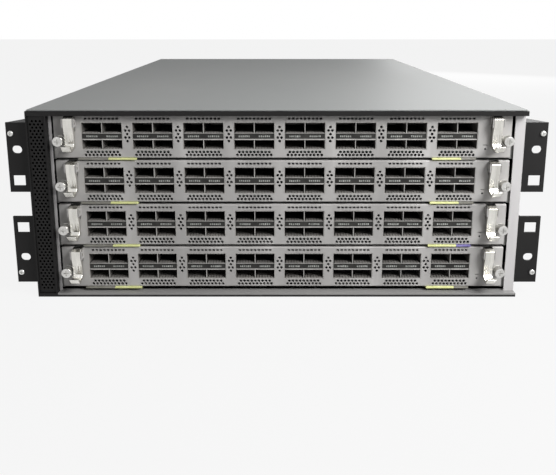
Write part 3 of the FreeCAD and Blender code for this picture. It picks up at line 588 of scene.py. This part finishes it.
def panel_shape():
    """One card panel with all its holes, with the card's floor at z = 0."""
    fold = [(0, 0), (tray_depth, 0), (tray_depth, sheet), (sheet, sheet), (sheet, card_height - sheet),
            (9, card_height - sheet), (9, card_height), (0, card_height)]
    shape = bmesh.new()
    made = profile(shape, [(card_front + a, b) for a, b in fold], card_left, card_right - card_left)
    bends = edges_between(made, lambda e: abs(e.verts[0].co.x - e.verts[1].co.x) > 9
                          and abs(e.verts[0].co.y - card_front) < 0.01)
    rounded(shape, bends, 0.9, 3)
    tools = bmesh.new()
    for middle in group_centres:
        slab(tools, (middle - 18.55, card_front - 2, 7.6), (middle + 18.55, card_front + 3, 32.9))
        for count, height in ((9, 5.5), (10, 2.75)):
            for n in range(count):
                x = middle + (n - (count - 1) / 2) * 3.35
                drum(tools, (x, card_front, height), 1.42, 6, 6)
        for n in range(9):
            x = middle + (n - 4) * 3.5
            slab(tools, (x - 1.2, card_front - 2, 34.8), (x + 1.2, card_front + 3, 36.6))
    for left, right in zip(group_centres, group_centres[1:]):
        middle = (left + right) / 2
        for shift, height in ((0, 28.2), (-1.7, 25.0), (1.7, 25.0), (0, 21.8), (-1.7, 18.6), (1.7, 18.6),
                              (0, 15.4)):
            drum(tools, (middle + shift, card_front, height), 1.3, 6, 8)
    for side in ("left", "right"):
        middle = lever_centres[side]
        slab(tools, (middle - 4.45, card_front - 2, 24.6), (middle + 4.45, card_front + 6, card_height + 2))
        drum(tools, (thumb_centres[side], card_front, thumb_height), 2.4, 6, 16)
    drum(tools, (186.2, card_front, 8.2), 0.95, 6, 12)
    slab(tools, (184.2, card_front - 2, 11.5), (188.2, card_front + 3, 12.1))
    return carved(shape, tools)


def add_tray_parts(shape):
    """Tray walls, board rails and the cheeks that hold the lever pins."""
    back = card_front + tray_depth
    slab(shape, (card_left, card_front + sheet, sheet), (card_left + sheet, back, 9.2))
    slab(shape, (card_right - sheet, card_front + sheet, sheet), (card_right, back, 9.2))
    slab(shape, (card_left + 15, card_front + sheet, sheet), (card_left + 23, back - 1.2, 5.5))
    slab(shape, (card_right - 23, card_front + sheet, sheet), (card_right - 15, back - 1.2, 5.5))
    seat = 1.56
    corner = 0.65
    cheek = [(-7.2, 29), (0, 29), (0, 36.4), (-4.2 + seat, 36.4), (-4.2 + seat, 32.6 - corner),
             (-4.2 + corner, 32.6 - seat), (-4.2 - corner, 32.6 - seat), (-4.2 - seat, 32.6 - corner),
             (-4.2 - seat, 36.4), (-7.2, 36.4)]
    for middle in lever_centres.values():
        slab(shape, (middle - 5.4, card_front + 6, 23), (middle + 5.4, card_front + 7, card_height - 1.3))
        for start in (middle - 5.45, middle + 4.45):
            profile(shape, [(card_front + a, b) for a, b in cheek], start, 1)


panel_template = panel_shape()
add_tray_parts(panel_template)
panel_mesh = bpy.data.meshes.new("panel_pattern")
panel_template.to_mesh(panel_mesh)
panel_template.free()


def lifted(pattern, card):
    """A copy of a pattern mesh, raised to a card's floor."""
    shape = bmesh.new()
    shape.from_mesh(pattern)
    bmesh.ops.translate(shape, vec=(0, 0, card_base + card_pitch * (card - 1)), verts=shape.verts)
    return shape


lens_dark = worn_surface("dark_lens", tone(20, 26, 22), tone(34, 44, 36), 0.0, 0.12,
                         cloud_scale=500.0, grain_scale=3000.0, coat=0.6)
for card in (1, 2, 3, 4):
    piece(f"card_{card}_face", lifted(panel_mesh, card), f"card_{card}", [panel_metal],
          [f"card_{card}_panel"])
    lens_shape = bmesh.new()
    drum(lens_shape, (186.2, card_front + 0.9, card_base + card_pitch * (card - 1) + 8.2), 0.93, 1.2, 16)
    piece(f"card_{card}_lens", lens_shape, f"card_{card}", [lens_dark])

# Card tags.
# Under each card's floor a thin grey strip with a plain pale tag stands out on both sides.
# They are punched from plastic sheet, and one tag has a violet half.
tag_pale = worn_surface("pale_tag", tone(216, 220, 150), tone(232, 234, 178), 0.0, 0.45,
                        cloud_scale=160.0, grain_scale=900.0)
tag_violet = worn_surface("violet_tag", tone(112, 104, 160), tone(134, 126, 178), 0.0, 0.45,
                          cloud_scale=160.0, grain_scale=900.0)
tag_grey = worn_surface("grey_strip", tone(120, 118, 110), tone(146, 144, 136), 0.2, 0.4,
                        cloud_scale=90.0, grain_scale=1200.0)
for card in (1, 2, 3, 4):
    floor_height = card_base + card_pitch * (card - 1)
    for side, parts in (("left", ((-178, -151, 2), (-151, -126, 0))),
                        ("right", ((139, 165, 0), (165, 178.5, 1 if card == 2 else 2)))):
        tag_shape = bmesh.new()
        for start, end, number in parts:
            bar = slab(tag_shape, (start, card_front - 1.4, floor_height - 1.5),
                       (end, card_front + 3.8, floor_height))
            rounded(tag_shape, edges_between(bar, lambda e: True), 0.3)
        for face in tag_shape.faces:
            middle = face.calc_center_median().x
            face.material_index = [number for start, end, number in parts if start <= middle <= end][0]
        piece(f"card_{card}_tag_{side}", tag_shape, f"card_{card}",
              [tag_pale, tag_violet, tag_grey])

# Cage blocks.
# Each window holds a stacked cage of thin plated steel, two ports wide and two high.
# The band between the rows has a bright lip and clear light guides, and springs line the mouths.
cage_bright = worn_surface("plated_cage", tone(168, 166, 163), tone(196, 194, 190), 0.7, 0.34,
                           cloud_scale=150.0, grain_scale=2200.0)
# A darker copy of the cage steel: painted shade for the walls, springs, dividers and plugs inside the port
# mouths.
shaded_cage_steel = worn_surface("cage_painted_shade", tone(104, 101, 98), tone(126, 123, 119), 0.2, 0.5,
                         cloud_scale=90.0, grain_scale=1200.0, specular=0.3)
band_dark = worn_surface("cage_band", tone(38, 37, 36), tone(58, 57, 55), 0.3, 0.4,
                         cloud_scale=130.0, grain_scale=1200.0, specular=0.3)
guide_white = worn_surface("clear_light_guide", tone(126, 128, 124), tone(196, 198, 194), 0.0, 0.22,
                           cloud_scale=420.0, grain_scale=2600.0)
cage_front = card_front + 0.2
cage_back = cage_front + 52
mouth_back = cage_front + 44
cage_low = 7.7
cage_high = 32.8
cage_half = 18.45
wall = 0.8
band_low = cage_low + wall + 8
band_high = band_low + 6.3


def paint_faces(verts, number):
    for face in {f for v in verts for f in v.link_faces}:
        face.material_index = number


def cage_shape():
    """One cage block round x = 0, card floor at z = 0; 0 bright steel, 1 the steel darkened as painted shade
    inside the mouths, 2 light guide, 3 band.
    """
    shape = bmesh.new()
    slab(shape, (-cage_half, cage_front, cage_low), (cage_half, cage_back, cage_high))
    mouth = [f for f in shape.faces if f.normal.y < -0.9]
    bmesh.ops.inset_region(shape, faces=mouth, thickness=wall, depth=0)
    rim_faces = [f for f in shape.faces if f.normal.y < -0.9 and f not in mouth]
    grown = bmesh.ops.extrude_discrete_faces(shape, faces=mouth)["faces"]
    inner = [v for f in grown for v in f.verts]
    bmesh.ops.translate(shape, vec=(0, mouth_back - cage_front, 0), verts=inner)
    # The inner faces take the darkened steel as painted shade; the front rim keeps the bright steel.
    paint_faces(inner, 1)
    for face in rim_faces:
        face.material_index = 0
    for low, high in ((cage_low + wall, band_low), (band_high, cage_high - wall)):
        divider = slab(shape, (-0.3, cage_front + 0.4, low), (0.3, mouth_back, high))
        paint_faces(divider, 1)
        for face in {f for v in divider for f in v.link_faces if f.normal.y < -0.9}:
            face.material_index = 0
    inside = cage_half - wall
    band = slab(shape, (-inside, cage_front + 0.5, band_low), (inside, mouth_back, band_high))
    paint_faces(band, 3)
    for low, high, reach in ((band_low, band_low + 0.95, -0.1), (band_high - 0.5, band_high, 0.3)):
        lip = slab(shape, (-inside, cage_front + reach, low), (inside, cage_front + 3, high))
        rounded(shape, edges_between(lip, lambda e: True), 0.15)
    for centre in (-9.0, 9.0):
        for n in range(6):
            x = centre + (n - 2.5) * 1.75
            guide = slab(shape, (x - 0.55, cage_front + 0.15, band_low + 2.4),
                         (x + 0.55, cage_front + 1.5, band_low + 3.9))
            paint_faces(guide, 2)
        for n in range(6):
            x = centre + (n - 2.5) * 2.6
            for edge, way in ((cage_high - wall, -1), (cage_low + wall, 1), (band_high, 1), (band_low, -1)):
                spring = [(cage_front + 0.2, edge), (cage_front + 0.2, edge + way * 0.2),
                          (cage_front + 3.4, edge + way * 0.75), (cage_front + 7.5, edge + way * 0.05),
                          (cage_front + 7.5, edge)]
                if way < 0:
                    spring.reverse()
                made = profile(shape, spring, x - 0.95, 1.9)
                paint_faces(made, 1)
                for face in {f for v in made for f in v.link_faces if f.normal.y < -0.5}:
                    face.material_index = 0
        for low, high in ((cage_low + 1.4, band_low - 1.2), (band_high + 1.2, cage_high - 1.6)):
            plug = slab(shape, (centre - 6.4, mouth_back - 9, low), (centre + 6.4, mouth_back, high))
            paint_faces(plug, 1)
    return shape


cage_pattern = cage_shape()
cage_mesh = bpy.data.meshes.new("cage_pattern")
cage_pattern.to_mesh(cage_mesh)
cage_pattern.free()
for card in (1, 2, 3, 4):
    row = bmesh.new()
    for middle in group_centres:
        start = len(row.verts)
        row.from_mesh(cage_mesh)
        row.verts.ensure_lookup_table()
        bmesh.ops.translate(row, vec=(middle, 0, card_base + card_pitch * (card - 1)),
                            verts=row.verts[start:])
    piece(f"card_{card}_cage_row", row, f"card_{card}",
          [cage_bright, shaded_cage_steel, guide_white, band_dark], [f"card_{card}_cages"])
    dress(f"card_{card}_board", board_green)

# Heat sinks.
# Extruded aluminium blocks with upright fins stand on each card's board, in line with the air.
# They keep the fine lines of the die along their length.
sink_metal = worn_surface("extruded_aluminium", tone(172, 174, 176), tone(196, 198, 200), 0.9, 0.36,
                          cloud_scale=60.0, grain_scale=1500.0, stretch=(1, 0.05, 1))
for card in (1, 2, 3, 4):
    dress(f"card_{card}_heat_sink", sink_metal)

# Parts on the card boards.
# Behind each cage stands a black chip, and at both sides of the heat sink two rows of capacitors.
# The chips are moulded, and the capacitors are aluminium cans on black feet; all are soldered.
chip_places = ((0, -238, 7), (-12, -214, 3.5), (12, -214, 3.5))
capacitor_radius = 4.0
capacitor_foot = 4.6
for card in (1, 2, 3, 4):
    board_top = span(f"card_{card}_board")[1].z
    chips = bmesh.new()
    for middle in group_centres:
        for across, along, size in chip_places:
            x = middle + across
            chip = slab(chips, (x - size, along - size, board_top - 0.05),
                        (x + size, along + size, board_top + 1.5))
            rounded(chips, edges_between(chip, lambda e: True), 0.2)
    for across in (-150, -136, -122, 122, 136, 150):
        for along in (-150, -30):
            slab(chips, (across - capacitor_foot, along - capacitor_foot, board_top - 0.05),
                 (across + capacitor_foot, along + capacitor_foot, board_top + 1.4))
            can = drum(chips, (across, along, board_top + 6.2), capacitor_radius, 10, 24, axis="Z")
            paint_faces(can, 1)
    piece(f"card_{card}_board_parts", chips, f"card_{card}",
          [connector_black, sink_metal])

# Ejector levers.
# Each card has two cast zinc levers, polished and nickel plated, that turn on steel pins.
# The claw sits above the pin, and the bar ends below in a finger tab that curves forwards.
# Its lighter streaks are drawn out upright: partly polish lines, partly painted highlights for the
# reflections down the curved metal.
lever_polish_and_sheen = worn_surface("polished_cast_lever", tone(206, 204, 198), tone(238, 236, 230), 1.0, 0.17,
                           cloud_scale=160.0, grain_scale=900.0, spread=0.16, depth=0.00001,
                           stretch=(1, 1, 0.12))


def lever_shape():
    """A lever round x = 0, with the card's floor at z = 0."""
    shape = bmesh.new()
    outline = [(-1.0, 9.4), (-10.4, 7.2), (-12.4, 8.2), (-16.2, 12.9), (-14.4, 13.8), (-10.8, 9.9),
               (-6.6, 11.2), (-4.8, 13.6), (-4.8, 21.3), (-7.2, 29.6), (-7.2, 36.2), (-4.2, 38.4),
               (1.2, 38.4), (1.2, 35.4), (-1.0, 33.8)]
    body = profile(shape, [(card_front + a, b) for a, b in outline], -4.2, 8.4)
    bmesh.ops.bevel(shape, geom=edges_between(body, lambda e: e.calc_face_angle(0) > math.radians(20)),
                    offset=0.42, offset_type="OFFSET", segments=3, profile=0.5, affect="EDGES", material=-1,
                    clamp_overlap=True)
    for x in (-2.2, 0, 2.2):
        rib = slab(shape, (x - 0.45, card_front - 5.25, 15.2), (x + 0.45, card_front - 3, 24.5))
        rounded(shape, edges_between(rib, lambda e: True), 0.2)
    drum(shape, (0, card_front - 4.2, 32.6), 1.5, 10.9, 24, axis="X")
    return shape


lever_pattern = lever_shape()
lever_mesh = bpy.data.meshes.new("lever_pattern")
lever_pattern.to_mesh(lever_mesh)
lever_pattern.free()
for card in (1, 2, 3, 4):
    for side, middle in lever_centres.items():
        arm = lifted(lever_mesh, card)
        bmesh.ops.translate(arm, vec=(middle, 0, 0), verts=arm.verts)
        piece(f"card_{card}_ejector_{side}", arm, f"card_{card}_lever_{side}",
              [lever_polish_and_sheen], [f"card_{card}_lever_{side}"])

# Thumbscrews.
# Captive steel screws with a knurled head and a cross recess, turned on a lathe and nickel plated.
# They pass through the panel into the tabs of the guide walls.
knurl_steel = worn_surface("knurled_steel", tone(196, 195, 192), tone(222, 221, 218), 0.9, 0.26,
                           cloud_scale=220.0, grain_scale=2600.0)
thumb_radius = 4.5


def thumb_shape():
    """A thumbscrew round x = 0, with its card's floor at z = 0."""
    shape = bmesh.new()
    front = card_front - 9.1
    drum(shape, (0, card_front - 4.6, thumb_height), thumb_radius, 9, 44)
    shape.normal_update()
    rim = [edge for edge in shape.edges if edge.calc_face_angle(0) > 1]
    rounded(shape, rim, 0.6)
    shape.normal_update()
    sides = [face for face in shape.faces if abs(face.normal.y) < 0.2 and face.calc_area() > 2]
    bmesh.ops.inset_individual(shape, faces=sides, thickness=0.11, depth=-0.25)
    tools = bmesh.new()
    cross_recess(tools, (0, front, thumb_height), 2.3, 0.8, 1.6)
    result = carved(shape, tools, crossing=True)
    drum(result, (0, card_front + 4.95, thumb_height), 1.75, 10.1, 20)
    return result


thumb_pattern = thumb_shape()
thumb_mesh = bpy.data.meshes.new("thumb_pattern")
thumb_pattern.to_mesh(thumb_mesh)
thumb_pattern.free()
for card in (1, 2, 3, 4):
    for side, middle in thumb_centres.items():
        knob = lifted(thumb_mesh, card)
        bmesh.ops.translate(knob, vec=(middle, 0, 0), verts=knob.verts)
        piece(f"card_{card}_knob_{side}", knob, f"card_{card}_thumbscrew_{side}",
              [knurl_steel], [f"card_{card}_thumbscrew_{side}"])

# Rear frame and service panel.
# The rear sheet is painted like the cover and has an opening for each fan tray and power supply.
# The service panel carries three metal sockets.
satin_grey = worn_surface("satin_grey_sheet", tone(150, 151, 150), tone(160, 161, 160), 0.2, 0.42,
                          cloud_scale=9.0, grain_scale=1400.0, stretch=(1, 0.35, 1))
piece("rear_sheet", softened("rear_frame", 0.2), "chassis", [satin_grey], ["rear_frame"],
      smooth_below=20)
piece("service_plate", softened("service_panel", 0.25), "chassis", [satin_grey],
      ["service_panel"], smooth_below=20)
piece("service_shells", softened("service_sockets", 0.15), "chassis", [cage_bright],
      ["service_sockets"])

# Fan trays and rotors.
# Black moulded housings with a guard, a motor on three struts and a pull handle.
# The rotors are glossier black plastic and spin on a steel shaft.
fan_plastic = worn_surface("fan_plastic", tone(34, 34, 35), tone(44, 44, 45), 0.0, 0.45,
                           cloud_scale=40.0, grain_scale=1100.0, depth=0.00005)
rotor_plastic = worn_surface("rotor_plastic", tone(26, 26, 27), tone(36, 36, 37), 0.0, 0.32,
                             cloud_scale=50.0, grain_scale=1500.0, depth=0.00002)
for n in (1, 2, 3):
    piece(f"fan_housing_{n}", softened(f"fan_tray_{n}", 0.3), f"fan_tray_{n}",
          [fan_plastic], [f"fan_tray_{n}"], smooth_below=20)
    piece(f"fan_wheel_{n}", softened(f"fan_rotor_{n}", 0.3), f"fan_rotor_{n}",
          [rotor_plastic], [f"fan_rotor_{n}"])

# Power supplies.
# Grey sheet-metal cases with a black moulded face, which has air slots, an inlet and a pull handle.
# Three flat nickel-plated pins stand in each inlet; the cases slide into the rear bays.
supply_coat = worn_surface("supply_coat", tone(46, 46, 47), tone(56, 56, 57), 0.0, 0.46,
                           cloud_scale=36.0, grain_scale=1400.0, depth=0.00005)
inlet_depth = 18
inlet_floor = span("rear_frame")[1].y + 1.6 - inlet_depth
inlet_pins = ((19, 24), (12.5, 16.5), (25.5, 16.5))
pin_length = 13
face_start = span("rear_frame")[0].y - 1
for n in (1, 2, 3, 4):
    case_low = span(f"power_supply_{n}")[0]
    case = softened(f"power_supply_{n}", 0.3)
    for side in case.faces:
        if side.calc_center_median().y > face_start:
            side.material_index = 1
    piece(f"supply_case_{n}", case, f"power_supply_{n}", [satin_grey, supply_coat],
          [f"power_supply_{n}"], smooth_below=20)
    pins = bmesh.new()
    for across, up in inlet_pins:
        pin = slab(pins, (case_low.x + across - 1, inlet_floor - 0.5, case_low.z + up - 2),
                   (case_low.x + across + 1, inlet_floor + pin_length, case_low.z + up + 2))
        rounded(pins, edges_between(pin, lambda e: True), 0.35)
    piece(f"supply_pins_{n}", pins, f"power_supply_{n}", [screw_steel])

for pattern in (panel_mesh, cage_mesh, lever_mesh, thumb_mesh):
    bpy.data.meshes.remove(pattern)
